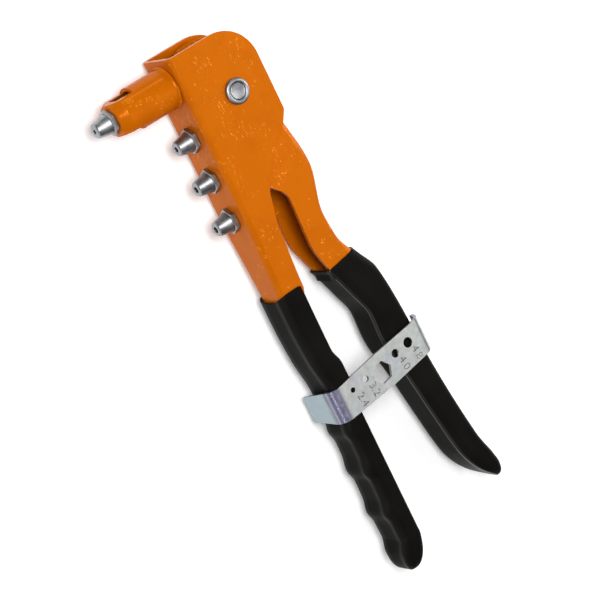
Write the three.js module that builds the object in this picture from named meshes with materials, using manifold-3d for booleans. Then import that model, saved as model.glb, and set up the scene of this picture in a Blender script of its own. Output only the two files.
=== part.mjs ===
// Hand riveter with four nosepieces, lying on its side. Millimetres, +Z up.
// The pivot axis is the Z axis. The origin is the centre of the flat lower rivet head, on the
// plane that the head rests on. +Y runs to the head of the tool and the nose points to -X.
import * as THREE from "three";
import { mergeVertices } from "three/addons/utils/BufferGeometryUtils.js";
import Module from "manifold-3d";

const wasm = await Module();
wasm.setup();

// ---- driving dimensions -------------------------------------------------------------------
const GAP = 0.35; // clearance between neighbouring pieces
const MID = 15; // height of the tool's plane of symmetry above the resting plane
const SHEET = 2; // thickness of the pressed sheet steel

const HEAD_TOP = 28.3; // top edge of the fixed frame above the pivot
const WEB_X = -24.3; // front face of the fixed frame's web
const FRAME_HALF = 13; // half the outer width of the fixed frame at the head
const HANDLE_HALF = 9.6; // the same inside the grip
const FRAME_END = -226; // lower end of the fixed frame's steel
const GRIP_TOP = -93.3; // where the fixed grip begins
const GRIP_END = -246; // lower end of the fixed grip
const GRIP_HALF = 10.9; // half the width of the fixed grip

const LEVER_HALF = 10.6; // half the outer width of the lever, inside the frame's plates
const LEVER_GRIP_STEEL = 8.8; // the same inside its grip
const LEVER_GRIP_HALF = 10; // half the width of the lever's grip
const LOBE_R = 26.6; // rounded top of the lever about the pivot

const PIN_R = 4; // pivot shank
const PIN_HEAD_R = 6.2; // pivot heads
const AXIS_Y = 15; // barrel axis above the pivot
const BARREL_R = 10.15;
const BARREL_NOSE_X = -56.8; // front face of the barrel
const BORE_R = 8.2;
const BORE_END_X = -52; // front end of the bore
const FLAT_Y = 7.7; // spanner flats, from the barrel axis
const FLAT_X = -44; // rear end of the flats
const PULL_R = 15.7; // stub pins from the pivot
const PULL_ANGLE = 72.5; // their angle with the lever closed
const STUB_R = 2;
const SPARE_Y = [-11.4, -32.2, -53]; // the three stowed nosepieces
const SPARE_BORE = [1.7, 2.6, 3.1]; // their mandrel bores, for 2.4, 4.0 and 4.8 mm rivets
const FITTED_BORE = 2.1; // for 3.2 mm rivets

const CLIP_SHEET = 1.5;
const CLIP_WIDE = 17.7;
const CLIP_AT = [5.2, -150.5];
const CLIP_TURN = 6; // degrees that the clip's long edges lie askew
const CLIP_TOP = 27.9; // outer face above the resting plane
const CLIP_FLAT = [-19.5, 31.2]; // ends of the flat part
const CLIP_BEND = 5.6; // outer bend radius
const CLIP_HEX_AF = 9.6;
const CLIP_HEX_TURN = -20;
// rivet gauge holes: centre along and across the clip, diameter
const GAUGE_HOLES = [[-18.1, 2.3, 2.6], [-9.5, 2.3, 3.4], [10.8, 2.2, 4.2], [19.4, 2.2, 5.0]];

// ---- finishes ------------------------------------------------------------------------------
const paint = () => new THREE.MeshStandardMaterial({ color: 0xdf7116, roughness: 0.34, metalness: 0 });
const vinyl = () => new THREE.MeshStandardMaterial({ color: 0x151513, roughness: 0.5, metalness: 0 });
const zinc = () => new THREE.MeshStandardMaterial({ color: 0xb4b8b6, roughness: 0.36, metalness: 0.95 });
const steel = () => new THREE.MeshStandardMaterial({ color: 0x8c8f92, roughness: 0.4, metalness: 1 });
const spring = () => new THREE.MeshStandardMaterial({ color: 0x6f7376, roughness: 0.35, metalness: 1 });

// ---- helpers -------------------------------------------------------------------------------
const rad = THREE.MathUtils.degToRad;

// A geometry as a solid, its vertices merged and its faces turned outward.
function solid(geometry) {
  const g = geometry.clone();
  g.deleteAttribute("normal");
  g.deleteAttribute("uv");
  const m = mergeVertices(g, 1e-3);
  const p = m.getAttribute("position").array;
  const tri = [];
  let volume = 0;
  const [a, b, c] = [new THREE.Vector3(), new THREE.Vector3(), new THREE.Vector3()];
  for (let i = 0; i < m.index.count; i += 3) {
    const t = [0, 1, 2].map((k) => m.index.getX(i + k));
    if (t[0] === t[1] || t[1] === t[2] || t[2] === t[0]) continue;
    [a, b, c].forEach((v, k) => v.fromArray(p, 3 * t[k]));
    volume += a.dot(b.cross(c));
    tri.push(t);
  }
  if (volume < 0) tri.forEach((t) => t.reverse());
  return new wasm.Manifold(
    new wasm.Mesh({
      numProp: 3,
      vertProperties: Float32Array.from(p),
      triVerts: Uint32Array.from(tri.flat()),
    }),
  );
}

// Points of an outline given by corners [x, y, radius]; an arc has a step about every 15 degrees.
function outline(corners, step = 15) {
  const n = corners.length;
  const points = [];
  corners.forEach(([x, y, r = 0], i) => {
    const at = new THREE.Vector2(x, y);
    const before = new THREE.Vector2(...corners[(i + n - 1) % n]).sub(at).normalize();
    const after = new THREE.Vector2(...corners[(i + 1) % n]).sub(at).normalize();
    const half = Math.acos(THREE.MathUtils.clamp(before.dot(after), -1, 1)) / 2;
    if (!r || half > 1.56) return points.push(at);
    const middle = before.clone().add(after).normalize();
    const centre = at.clone().addScaledVector(middle, r / Math.sin(half));
    const reach = r / Math.tan(half);
    const from = at.clone().addScaledVector(before, reach).sub(centre);
    const turn = Math.PI - 2 * half;
    const side = Math.sign(before.cross(after)) || 1;
    const steps = Math.max(2, Math.round(turn / rad(step)));
    for (let k = 0; k <= steps; k += 1) {
      const angle = (-side * turn * k) / steps;
      points.push(from.clone().rotateAround(new THREE.Vector2(), angle).add(centre));
    }
  });
  return points;
}

// An outline in X and Y, extruded from z0 to z1.
function plate(points, z0, z1) {
  const shape = new THREE.Shape(points.map((p) => (p.isVector2 ? p : new THREE.Vector2(...p))));
  const g = new THREE.ExtrudeGeometry(shape, { depth: z1 - z0, bevelEnabled: false });
  return solid(g.translate(0, 0, z0));
}

// A turned piece along X at the barrel axis; profile points are [x, radius].
function turned(profile, sides = 32) {
  const points = profile.map(([x, r]) => new THREE.Vector2(r, x));
  const g = new THREE.LatheGeometry(points, sides).rotateZ(-Math.PI / 2);
  return solid(g.translate(0, AXIS_Y, MID));
}

// A turned piece along Z at the pivot; profile points are [z, radius].
function turnedUp(profile, sides = 32) {
  const points = profile.map(([z, r]) => new THREE.Vector2(r, z));
  return solid(new THREE.LatheGeometry(points, sides).rotateX(Math.PI / 2));
}

function rodZ(x, y, r, z0, z1, sides = 24) {
  const g = new THREE.CylinderGeometry(r, r, z1 - z0, sides).rotateX(Math.PI / 2);
  return solid(g.translate(x, y, (z0 + z1) / 2));
}

function rodX(y, r, x0, x1, sides = 24) {
  const g = new THREE.CylinderGeometry(r, r, x1 - x0, sides).rotateZ(Math.PI / 2);
  return solid(g.translate((x0 + x1) / 2, y, MID));
}

function box(x0, x1, y0, y1, z0, z1) {
  const g = new THREE.BoxGeometry(x1 - x0, y1 - y0, z1 - z0);
  return solid(g.translate((x0 + x1) / 2, (y0 + y1) / 2, (z0 + z1) / 2));
}

// A section (x across from 0 to 20, y from -10 to 10) swept down the Y axis. Each station says
// where the section's front and rear lie and how wide it is: [y, front, rear, half width].
function sweep(section, stations) {
  const n = stations.length - 1;
  const shape = new THREE.Shape(section);
  const g = new THREE.ExtrudeGeometry(shape, { depth: n, steps: n, bevelEnabled: false });
  const p = g.getAttribute("position");
  for (let i = 0; i < p.count; i += 1) {
    const [u, v] = [p.getX(i), p.getY(i)];
    const [y, front, rear, half] = stations[Math.round(p.getZ(i))];
    const x = u < 10 ? front + u : rear + u - 20;
    p.setXYZ(i, x, y, MID + Math.sign(v) * (half - 10 + Math.abs(v)));
  }
  return solid(g);
}

// The closed section of a grip, with its own corner radius at front and rear.
const tube = (front, rear, step = 30) =>
  outline([[0, -10, front], [20, -10, rear], [20, 10, rear], [0, 10, front]], step);

// The channel section of pressed sheet, open at the rear, or at the front when turned.
function channel(t, r, openFront = false) {
  const points = outline([
    [20, 10], [0, 10, r], [0, -10, r], [20, -10],
    [20, -10 + t], [t, -10 + t, r - t], [t, 10 - t, r - t], [20, 10 - t],
  ], 30);
  return openFront ? points.map((p) => new THREE.Vector2(20 - p.x, p.y)).reverse() : points;
}

// A value on the smooth curve through a table of [y, value] rows; the curve is level wherever
// the values turn round.
function along(table, y) {
  let i = 0;
  while (i < table.length - 2 && y < table[i + 1][0]) i += 1;
  const rise = (k) => (table[k + 1][1] - table[k][1]) / (table[k + 1][0] - table[k][0]);
  const slope = (k) => {
    if (k === 0 || k === table.length - 1) return rise(Math.min(k, table.length - 2));
    const [a, b] = [rise(k - 1), rise(k)];
    return a * b > 0 ? (2 * a * b) / (a + b) : 0;
  };
  const [[y0, v0], [y1, v1]] = [table[i], table[i + 1]];
  const h = y1 - y0;
  const t = THREE.MathUtils.clamp((y - y0) / h, 0, 1);
  return (1 + 2 * t) * (1 - t) ** 2 * v0 + t * (1 - t) ** 2 * h * slope(i)
    + t * t * (3 - 2 * t) * v1 + t * t * (t - 1) * h * slope(i + 1);
}

const steps = (from, to, count) =>
  Array.from({ length: count + 1 }, (_, i) => from + ((to - from) * i) / count);

// The heights of a table's rows, and the given fractions of the way between them.
const heights = (table, fractions = []) => table.flatMap(([y], i) =>
  [0, ...(i + 1 < table.length ? fractions : [])].map((t) =>
    t ? THREE.MathUtils.lerp(y, table[i + 1][0], t) : y));

const group = new THREE.Group();
function node(name, piece, material, place = null) {
  const mesh = piece.getMesh();
  const g = new THREE.BufferGeometry();
  g.setAttribute("position", new THREE.BufferAttribute(Float32Array.from(mesh.vertProperties), 3));
  g.setIndex(new THREE.BufferAttribute(Uint32Array.from(mesh.triVerts), 1));
  g.computeVertexNormals();
  const object = new THREE.Mesh(g, material);
  object.name = name;
  if (place) {
    object.position.set(...place.at);
    object.rotation.z = rad(place.turn);
  }
  group.add(object);
}

// ---- fixed frame: a channel with its web in front ------------------------------------------
// Side outline: square front, rounded rear of the head, then the throat and the slim handle.
const FRAME_OUTLINE = outline([
  [WEB_X - 1, HEAD_TOP], [18.4, HEAD_TOP, 18.3], [18.5, -18.5, 4], [14.4, -24.8, 3],
  [4, -31.2, 9], [-7.2, -48.5, 10], [-10.2, -62, 20], [-11, -96], [-12.9, -101, 4],
  [-12.9, FRAME_END, 5], [-30, FRAME_END],
]);
const frameStations = [
  [HEAD_TOP + 1, WEB_X, 22, FRAME_HALF],
  [-56, WEB_X, 22, FRAME_HALF],
  [-72, WEB_X, 22, 11.5],
  [-92, WEB_X, 22, 10.0],
  [-100, WEB_X, 22, HANDLE_HALF],
  [-146, -20.7, 22, HANDLE_HALF],
  [FRAME_END - 1, -20.5, 22, HANDLE_HALF],
];
{
  let frame = sweep(channel(SHEET, 2.8), frameStations);
  frame = frame.intersect(plate(FRAME_OUTLINE, -5, 35));
  frame = frame.subtract(rodZ(0, 0, PIN_R + GAP, -1, 31));
  frame = frame.subtract(rodX(AXIS_Y, BORE_R + 0.9 + GAP, -30, -15, 32));
  for (const y of SPARE_Y) frame = frame.subtract(rodX(y, 3.2 + GAP, -30, -15));
  node("frame_body", frame, paint());
}

// Fixed grip: a closed sleeve with four finger rests, pushed over the handle.
const FINGERS = [
  [-90, -25.9], [-110, -25.9], [-128, -25.1], [-147, -22.7], [-160, -22.7], [-168, -24.2], [-173.5, -22.9],
  [-181, -23.0], [-189.5, -24.4], [-195.5, -22.8], [-205, -23.0], [-212.5, -24.5],
  [-218.5, -23.1], [-228.5, -22.9], [-237, -24.7], [-247, -24.7],
];
const GRIP_REAR = [
  [-90, -11.3], [-128.8, -11.6], [-137.3, -9.4], [-146, -9.4], [-161, -11.4], [-247, -11.3],
];
{
  const rows = [...heights(FINGERS), ...heights(GRIP_REAR).slice(1, -1)].sort((a, b) => b - a);
  const stations = rows.map((y) => [y, along(FINGERS, y), along(GRIP_REAR, y), GRIP_HALF]);
  let grip = sweep(tube(3, 3.4), stations);
  // rounded lower end in both views, and the curved upper edge
  grip = grip.intersect(plate(outline([
    [-30, GRIP_TOP - 8], [-30, GRIP_TOP - 0.6], [-5, GRIP_TOP + 2.1], [-10.9, GRIP_END + 25, 20],
    [-13.6, GRIP_END + 12.3, 12], [-19.2, GRIP_END + 1.4, 4.4], [-25, GRIP_END, 2.8],
    [-24.6, GRIP_END + 10, 3], [-30, GRIP_END + 12],
  ]), -5, 35));
  const front = outline([
    [-GRIP_HALF - 0.5, GRIP_TOP + 5], [GRIP_HALF + 0.5, GRIP_TOP + 5],
    [GRIP_HALF + 0.5, GRIP_END, 9], [-GRIP_HALF - 0.5, GRIP_END, 9],
  ]);
  const g = new THREE.ExtrudeGeometry(new THREE.Shape(front), { depth: 30, bevelEnabled: false });
  grip = grip.intersect(solid(g.rotateY(Math.PI / 2).translate(-32, 0, MID)));
  grip = grip.subtract(rodX(GRIP_TOP + 18, 21.3, -40, 5, 96));
  // the pocket follows the steel: wide at its mouth, then close round the slim handle
  const [mouth, top, waist, low] = frameStations.slice(3);
  const inside = [
    [-88, mouth[1] - GAP, -10.6, 10.3 + GAP],
    [top[0], top[1] - GAP, -10.6, top[3] + GAP],
    [-104, THREE.MathUtils.mapLinear(-104, top[0], waist[0], top[1], waist[1]) - GAP,
      -12.9 + GAP, top[3] + GAP],
    [waist[0], waist[1] - GAP, -12.9 + GAP, waist[3] + GAP],
    [FRAME_END - GAP, low[1] - GAP, -12.9 + GAP, low[3] + GAP],
  ];
  // a tongue from the grip's rear wall fills the channel below the mouth
  const tongue = inside.map(([y, front, rear, half]) =>
    [Math.min(y, -99), front + SHEET + 2 * GAP, rear + 1, half - SHEET - 2 * GAP]).slice(1);
  const pocket = sweep(tube(2.6, 0.2, 45), inside).subtract(sweep(tube(1.2, 0, 45), tongue));
  grip = grip.subtract(pocket);
  node("front_grip", grip, vinyl());
}

// ---- barrel, nosepieces ---------------------------------------------------------------------
{
  let barrel = turned([
    [BARREL_NOSE_X, 3.9], [BARREL_NOSE_X, 7.3], [BARREL_NOSE_X + 0.7, 8.1],
    [BARREL_NOSE_X + 4.6, BARREL_R], [WEB_X - 2.4, BARREL_R], [WEB_X - 1.3, 10.6],
    [WEB_X - GAP, 11.7],
    [WEB_X - GAP, BORE_R + 0.9], [WEB_X + 1.9, BORE_R + 0.9], [WEB_X + 1.9, BORE_R],
    [BORE_END_X, BORE_R], [BORE_END_X - 1.6, 3.9], [BARREL_NOSE_X, 3.9],
  ], 32);
  for (const side of [-1, 1]) {
    const y = AXIS_Y + side * (FLAT_Y + 5);
    barrel = barrel.subtract(box(-60, FLAT_X, y - 5, y + 5, 0, 30));
  }
  node("nose_barrel", barrel, paint());
}

// A nosepiece: threaded shank with a pilot, hexagonal flange and a cone, all bored for the
// mandrel. Its seat is at x = 0 and its tip points to -X.
function nosepiece(flange, length, across, bore) {
  const shank = 8.4;
  const hex = new THREE.CylinderGeometry(across / 2 / Math.cos(Math.PI / 6),
    across / 2 / Math.cos(Math.PI / 6), flange, 6);
  let piece = solid(hex.rotateZ(Math.PI / 2).translate(-flange / 2, 0, 0));
  const cone = [
    [-length, 0], [-length, 3.2], [-length + 0.5, 3.7], [-flange - 0.6, across / 2 - 0.5],
    [-flange + 0.2, across / 2 - 0.5], [-flange + 0.2, 3.2], [5.2, 3.2], [5.7, 2.4],
    [shank - 1.5, 2.4], [shank, 1.95], [shank, 0],
  ].map(([x, r]) => new THREE.Vector2(r, x));
  piece = piece.add(solid(new THREE.LatheGeometry(cone, 18).rotateZ(-Math.PI / 2)));
  const hole = new THREE.CylinderGeometry(bore / 2, bore / 2, length + shank + 4, 12);
  return piece.subtract(solid(hole.rotateZ(Math.PI / 2)));
}
node("nosepiece_fitted", nosepiece(2.1, 9.3, 11.2, FITTED_BORE), zinc(),
  { at: [BARREL_NOSE_X - GAP, AXIS_Y, MID], turn: 0 });
SPARE_Y.forEach((y, i) => node(`nosepiece_spare_${i + 1}`,
  nosepiece(2.1, 9.3, 11.2, SPARE_BORE[i]), zinc(), { at: [WEB_X - GAP, y, MID], turn: 0 }));

// ---- pivot ----------------------------------------------------------------------------------
node("pivot_pin", turnedUp([
  [0, 0], [0, PIN_HEAD_R - 0.7], [0.7, PIN_HEAD_R], [2 - GAP, PIN_HEAD_R], [2 - GAP, PIN_R],
  [29.7, PIN_R], [30, PIN_R - 0.3], [30, 0],
]), zinc());
node("pivot_collar", turnedUp([
  [28 + GAP, PIN_R + 0.3], [28 + GAP, PIN_HEAD_R], [29.4, PIN_HEAD_R], [30, PIN_HEAD_R - 0.6],
  [30, PIN_R + 0.3], [28 + GAP, PIN_R + 0.3],
]), zinc());
const LEVER_INNER = LEVER_HALF - SHEET; // inner face of the lever's plates from the mid-plane
node("pivot_spacer", turnedUp([
  [MID - LEVER_INNER + GAP, PIN_R + GAP], [MID - LEVER_INNER + GAP, 6],
  [MID + LEVER_INNER - GAP, 6], [MID + LEVER_INNER - GAP, PIN_R + GAP],
  [MID - LEVER_INNER + GAP, PIN_R + GAP],
]), steel());

// ---- lever: a channel with its web behind ---------------------------------------------------
const LEVER_REAR = [
  [-6, 16.2], [-20, 17.3], [-47, 21.4], [-72, 16.2], [-84, 17.6], [-106, 28.4], [-128, 31.4],
  [-160, 33.5], [-206, 39.4], [-222, 43.2],
];
const LEVER_OUTLINE = outline([
  [-9.2, 24.8], [-9.2, 30], [11.6, 30], [15.4, 14, 4], [45, -8], [50, -206],
  [40, -214.5, 4], [30, -210, 6], [26.6, -202, 12], [22.6, -180, 60], [16.4, -139, 20],
  [16.8, -124, 18], [5.6, -96, 25], [1.2, -82, 25], [2.2, -54, 12], [-5, -46.8, 3],
  [-9.5, -34, 8], [-11, -8, 20], [-9.6, 12, 20],
]);
const leverHalf = [[0, LEVER_HALF], [-76, LEVER_HALF], [-96, LEVER_GRIP_STEEL], [-230, LEVER_GRIP_STEEL]];
{
  const stations = [40, ...heights(LEVER_REAR, [0.25, 0.5, 0.75]).filter((y) => y < -8)].map((y) =>
    [y, -30, along(LEVER_REAR, y), along(leverHalf, y)]);
  let lever = sweep(channel(SHEET, 4.2, true), stations);
  // the web ends below the pivot, where the two plates carry on alone as the lobe
  lever = lever.subtract(box(-30, 30, -15, 40, MID - LEVER_INNER, MID + LEVER_INNER));
  lever = lever.intersect(plate(LEVER_OUTLINE, 0, 30));
  lever = lever.intersect(rodZ(0, 0, LOBE_R, 0, 30, 96).add(box(-30, 60, -240, -5, 0, 30)));
  lever = lever.subtract(rodZ(0, 0, PIN_R + GAP, -1, 31));
  const [px, py] = [PULL_R * Math.cos(rad(PULL_ANGLE)), PULL_R * Math.sin(rad(PULL_ANGLE))];
  lever = lever.subtract(rodZ(px, py, STUB_R + GAP, -1, 31));
  node("lever_body", lever, paint());
  ["near", "far"].forEach((name, i) => {
    const [z0, z1] = [5.7, LEVER_HALF - 0.1].map((z) => (i ? MID - z : MID + z)).sort((a, b) => a - b);
    node(`pull_pin_${name}`, rodZ(px, py, STUB_R, z0, z1, 20), steel());
  });
}

// Lever grip: a closed sleeve, square in front and well rounded behind, with a lip at its end.
const LEVER_GRIP_REAR = [
  [-90, 21.2], [-97, 24.3], [-108, 30.4], [-128, 33.1], [-160, 35.1], [-207, 41], [-213, 42.6],
  [-221, 45.8], [-236, 47.2],
];
const leverGripHalf = [[-90, LEVER_GRIP_HALF], [-208, LEVER_GRIP_HALF], [-235, 5.9]];
const LEVER_GRIP_FRONT = [
  [-90, 3.4], [-97, 5.2], [-113, 11], [-126, 15], [-138, 14.6], [-162, 18.8], [-185, 22.3],
  [-208, 26.2], [-236, 32],
];
{
  const stations = heights(LEVER_GRIP_REAR, [0.25, 0.5, 0.75]).map((y) =>
    [y, along(LEVER_GRIP_FRONT, y), along(LEVER_GRIP_REAR, y), along(leverGripHalf, y)]);
  let grip = sweep(tube(2.5, 5.4, 30), stations);
  grip = grip.intersect(plate(outline([
    [0, -97.2], [60, -88], [60, -220], [47.3, -224, 5], [46, -233.4, 4], [34.4, -225.6, 14],
    [26.9, -213, 16], [18, -170], [0, -140],
  ]), 0, 30));
  const rows = heights(LEVER_REAR, [0.25, 0.5, 0.75]).filter((y) => y < -80);
  const inside = rows.map((y) =>
    [y, -8, along(LEVER_REAR, y) + GAP, along(leverHalf, y) + GAP]);
  let cavity = sweep(tube(0, 4.2, 30), inside);
  cavity = cavity.intersect(plate(outline([
    [-5, -80], [60, -80], [50, -206], [40.3, -214.5 - GAP, 4.2], [29.8, -210.3, 6.3],
      [26.2, -202, 12], [22.2, -180, 60], [16, -139, 20], [16.4, -124.2, 18], [5.2, -96, 25],
    [0, -88],
  ]), 0, 30));
  // a tongue from the grip's front wall fills the lever's channel below the mouth
  const tongue = [-99, ...rows.filter((y) => y < -100)].map((y) =>
    [y, -8, along(LEVER_REAR, y) - SHEET - GAP, along(leverHalf, y) - SHEET - GAP]);
  cavity = cavity.subtract(sweep(tube(0, 2.6, 45), tongue));
  node("rear_grip", grip.subtract(cavity), vinyl());
}

// ---- jaw carriage, inside the barrel and the head -------------------------------------------
const SEAT = [WEB_X - 0.3, WEB_X + 1.2]; // ring that the return spring rests on
node("spring_seat", turned([
  [SEAT[0], 5.95], [SEAT[0], BORE_R - GAP], [SEAT[1], BORE_R - GAP], [SEAT[1], 5.95],
  [SEAT[0], 5.95],
], 24), steel());

const CASE_NOSE = -42; // front of the jaw case with the lever closed
const CASE_TUBE = 5.6;
const pullX = PULL_R * Math.cos(rad(PULL_ANGLE));
const groove = [pullX - STUB_R - GAP, pullX + STUB_R + GAP];
const JAW_CONE = [[CASE_NOSE + 1.2, 3.4], [CASE_NOSE + 9.2, 5]]; // inner cone of the case
node("jaw_case", turned([
  [CASE_NOSE, 3.2], [CASE_NOSE, 6.2], [CASE_NOSE + 1.4, 7.8],
  [CASE_NOSE + 10.6, 7.8], [CASE_NOSE + 11.6, 6.8], [CASE_NOSE + 11.6, CASE_TUBE],
  [groove[0] - 3.4, CASE_TUBE], [groove[0] - 3.4, 8.1], [groove[0], 8.1],
  [groove[0], 5.2], [groove[1], 5.2], [groove[1], 8.1], [groove[1] + 2.6, 8.1],
  [groove[1] + 3.2, 7.5], [groove[1] + 3.2, 4.3], [CASE_NOSE + 10.8, 4.3],
  [CASE_NOSE + 10.8, JAW_CONE[1][1]], JAW_CONE[1], JAW_CONE[0], [CASE_NOSE, 3.2],
], 24), steel());

// Three toothed jaws in the cone; each is a third of a cone frustum with a bore.
const jawTurn = [90, 210, 330];
{
  const [x0, x1] = [JAW_CONE[0][0] + 0.4, JAW_CONE[1][0] - 0.6];
  const slope = (JAW_CONE[1][1] - JAW_CONE[0][1]) / (JAW_CONE[1][0] - JAW_CONE[0][0]);
  const outer = (x) => JAW_CONE[0][1] + (x - JAW_CONE[0][0]) * slope - 0.3;
  const bore = [];
  for (let i = 5; i >= 0; i -= 1) bore.push([x0 + 0.6 + i * 1.05, 1.0 + (i % 2) * 0.25]);
  const ring = turned([
    [x0, outer(x0)], [x1, outer(x1)], [x1, 2], [x1 - 0.5, 1.1], ...bore, [x0, 1.6], [x0, outer(x0)],
  ], 24);
  jawTurn.forEach((turn, i) => {
    // keep the sector of 120 degrees less the slits
    const reach = 12;
    const [a, b] = [rad(turn - 60), rad(turn + 60)];
    const slit = 0.3;
    const at = (angle) => [reach * Math.cos(angle), reach * Math.sin(angle)];
    const middle = [slit * Math.cos(rad(turn)) * 1.155, slit * Math.sin(rad(turn)) * 1.155];
    const wedge = new THREE.Shape([middle, at(a), at(rad(turn)), at(b)].map(([u, v], k) =>
      k === 2 ? new THREE.Vector2(2 * u, 2 * v) : new THREE.Vector2(u + middle[0], v + middle[1])));
    const g = new THREE.ExtrudeGeometry(wedge, { depth: 14, bevelEnabled: false });
    // the sector is drawn in Y and Z and runs along X
    const m = new THREE.Matrix4().makeBasis(
      new THREE.Vector3(0, 1, 0), new THREE.Vector3(0, 0, 1), new THREE.Vector3(1, 0, 0));
    g.applyMatrix4(m).translate(CASE_NOSE, AXIS_Y, MID);
    node(`jaw_${i + 1}`, ring.intersect(solid(g)), steel());
  });
}

// Pusher with a conical nose behind the jaws, its spring, and the plug that closes the case.
const PUSH_X = JAW_CONE[1][0] - 0.3;
node("jaw_pusher", turned([
  [PUSH_X, 1.9], [PUSH_X, 3], [PUSH_X + 1.4, 4], [PUSH_X + 2.6, 4], [PUSH_X + 2.6, 2.5],
  [PUSH_X + 16, 2.5], [PUSH_X + 16, 1.9], [PUSH_X, 1.9],
], 20), steel());
node("jaw_plug", turned([
  [-7, 1.9], [-7, 3.9], [groove[1] + 3.6, 3.9], [groove[1] + 3.6, 6.4], [groove[1] + 5.2, 6.4],
  [groove[1] + 5.8, 5.8], [groove[1] + 5.8, 1.9], [-7, 1.9],
], 20), steel());

// A coil of round wire about the barrel axis, from x0 to x1.
function coil(x0, x1, r, wire, turns, sides = 5) {
  class Helix extends THREE.Curve {
    getPoint(t, target = new THREE.Vector3()) {
      const a = 2 * Math.PI * turns * t;
      const x = x0 + wire + (x1 - x0 - 2 * wire) * t;
      return target.set(x, AXIS_Y + r * Math.cos(a), MID + r * Math.sin(a));
    }
  }
  const ring = Array.from({ length: sides }, (_, i) => {
    const a = (2 * Math.PI * i) / sides;
    return new THREE.Vector2(wire * Math.cos(a), wire * Math.sin(a));
  });
  return solid(new THREE.ExtrudeGeometry(new THREE.Shape(ring), {
    steps: Math.round(turns * 12), extrudePath: new Helix(), bevelEnabled: false,
  }));
}
node("return_spring", coil(CASE_NOSE + 11.9, SEAT[0] - 0.3, 6.95, 0.55, 4), spring());
node("jaw_spring", coil(PUSH_X + 3, -7.4, 3.3, 0.4, 5), spring());

// ---- keeper clip ----------------------------------------------------------------------------
// A bent strip over both handles: a long leg in front of the fixed grip and a short curled leg
// behind the lever. Its long edges run askew to its bends, which are parallel to the handles.
{
  const wall = (toward, lean, leg, offset) => {
    // the bend and the leg at one end, at a distance inside the outer face
    const total = Math.PI / 2 - rad(lean);
    const points = steps(0, total, 6).map((a) => [
      CLIP_FLAT[toward < 0 ? 0 : 1] + toward * (CLIP_BEND - offset) * Math.sin(a),
      CLIP_TOP - CLIP_BEND + (CLIP_BEND - offset) * Math.cos(a),
    ]);
    const [x, z] = points[points.length - 1];
    points.push([x + toward * leg * Math.cos(total), z - leg * Math.sin(total)]);
    return points;
  };
  const front = [-1, 4.5, 18.6];
  const rear = [1, 9, 3.2];
  const strip = new THREE.Shape([
    ...wall(...front, 0).reverse(), ...wall(...rear, 0),
    ...wall(...rear, CLIP_SHEET).reverse(), ...wall(...front, CLIP_SHEET),
  ].map(([x, z]) => new THREE.Vector2(x, -z)));
  const g = new THREE.ExtrudeGeometry(strip, { depth: 40, bevelEnabled: false });
  let clip = solid(g.rotateX(-Math.PI / 2).translate(0, CLIP_AT[1] - 20, 0));
  const [cx, cy] = CLIP_AT;
  const slope = Math.tan(rad(CLIP_TURN));
  const edge = (x, side) => [x, cy + (x - cx) * slope + side * CLIP_WIDE / 2];
  clip = clip.intersect(plate([[-40, -162.2], [-20, -161.9], [8, -159.9], edge(33, -1),
    [38, cy - 4.5], edge(38, 1), edge(8, 1), [-20, -145.3], [-40, -145.3]], 0, 30));
  // the long leg narrows towards its end
  const leg = new THREE.Shape([[30, -145], [30, -163], [20, -161.9], [2, -160.8], [2, -147.8],
    [22, -145.4]].map(([z, y]) => new THREE.Vector2(z, y)));
  const side = new THREE.ExtrudeGeometry(leg, { depth: 20, bevelEnabled: false });
  clip = clip.intersect(solid(side.rotateY(-Math.PI / 2).translate(-20.5, 0, 0))
    .add(box(-21, 45, -175, -130, 0, 31)));
  const at = (u, v) => {
    const p = new THREE.Vector2(u, v).rotateAround(new THREE.Vector2(), rad(CLIP_TURN));
    return [cx + p.x, cy + p.y];
  };
  for (const [u, v, d] of GAUGE_HOLES) clip = clip.subtract(rodZ(...at(u, v), d / 2, 20, 30));
  const hexR = CLIP_HEX_AF / 2 / Math.cos(Math.PI / 6);
  const hex = new THREE.CylinderGeometry(hexR, hexR, 10, 6).rotateY(rad(CLIP_HEX_TURN));
  clip = clip.subtract(solid(hex.rotateX(Math.PI / 2).translate(...at(0, -0.8), CLIP_TOP)));
  node("keeper_clip", clip, zinc());
}

export default group;
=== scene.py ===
"""Looks of the hand riveter: finished meshes, materials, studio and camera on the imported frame."""

import math  # noqa: E402
from contextlib import contextmanager  # noqa: E402

import bmesh  # noqa: E402
import bpy  # noqa: E402
from mathutils import Matrix, Vector  # noqa: E402


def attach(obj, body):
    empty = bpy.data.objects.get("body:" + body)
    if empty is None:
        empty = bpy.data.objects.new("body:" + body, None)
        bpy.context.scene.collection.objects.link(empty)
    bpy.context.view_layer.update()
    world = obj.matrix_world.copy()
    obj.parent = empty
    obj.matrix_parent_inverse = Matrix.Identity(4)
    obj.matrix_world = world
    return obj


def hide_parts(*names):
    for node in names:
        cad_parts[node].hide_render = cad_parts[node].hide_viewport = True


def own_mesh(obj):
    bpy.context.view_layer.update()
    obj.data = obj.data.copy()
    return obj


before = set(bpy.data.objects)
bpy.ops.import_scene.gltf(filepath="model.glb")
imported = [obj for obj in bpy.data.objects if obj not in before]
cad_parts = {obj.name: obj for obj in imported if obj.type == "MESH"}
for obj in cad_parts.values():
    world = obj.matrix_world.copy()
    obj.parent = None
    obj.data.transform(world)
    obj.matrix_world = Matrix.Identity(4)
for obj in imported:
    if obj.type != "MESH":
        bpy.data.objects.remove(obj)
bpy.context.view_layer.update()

# ---- sizes in millimetres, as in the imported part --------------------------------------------
MM = 0.001
GAP = 0.35  # clearance between neighbouring pieces
MID = 15.0  # middle plane of the tool
SHEET = 2.0  # steel of the frame and the lever
HEAD_TOP = 28.3
WEB_X = -24.3
FRAME_END = -226.0
GRIP_TOP = -93.3
GRIP_END = -246.0
GRIP_HALF = 10.9
LEVER_HALF = 10.6
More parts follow.
